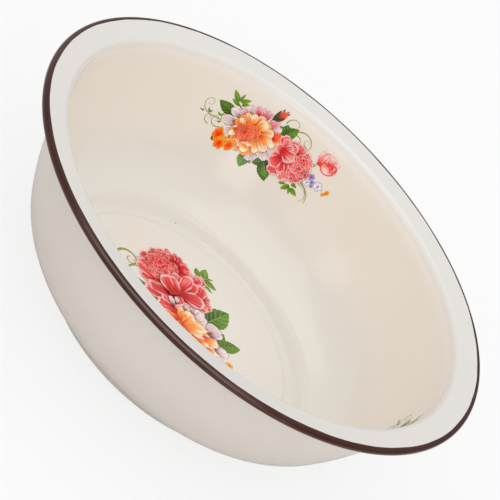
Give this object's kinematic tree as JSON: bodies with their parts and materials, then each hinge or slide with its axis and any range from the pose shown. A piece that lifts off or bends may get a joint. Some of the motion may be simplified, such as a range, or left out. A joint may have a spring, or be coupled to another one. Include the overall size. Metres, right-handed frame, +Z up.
{
  "type": "enamel basin bowl",
  "caption": "Round pressed-steel wash basin with a wide flange and rolled rim, cream vitreous enamel, dark brown rim coat and flower sprays fired inside.",
  "frame": {"origin": "on the floor, at the centre of the foot ring that the basin rests on", "axes": "+Z up along the basin's axis; +Y points to the side of the wall that faces the picture's camera"},
  "size_m": [0.3599, 0.36, 0.1106],
  "materials": {
    "steel": "satin",
    "cream_enamel": "gloss",
    "outer_cream_enamel": "gloss",
    "brown_enamel": "gloss",
    "flower_transfer": "gloss"
  },
  "bodies": {
    "root": {"steel_shell": "steel", "inner_enamel": "cream_enamel", "outer_enamel": "outer_cream_enamel", "rim_enamel": "brown_enamel", "wall_spray_1": "flower_transfer", "wall_spray_2": "flower_transfer", "wall_spray_3": "flower_transfer", "base_spray": "flower_transfer"}
  },
  "joints": []
}
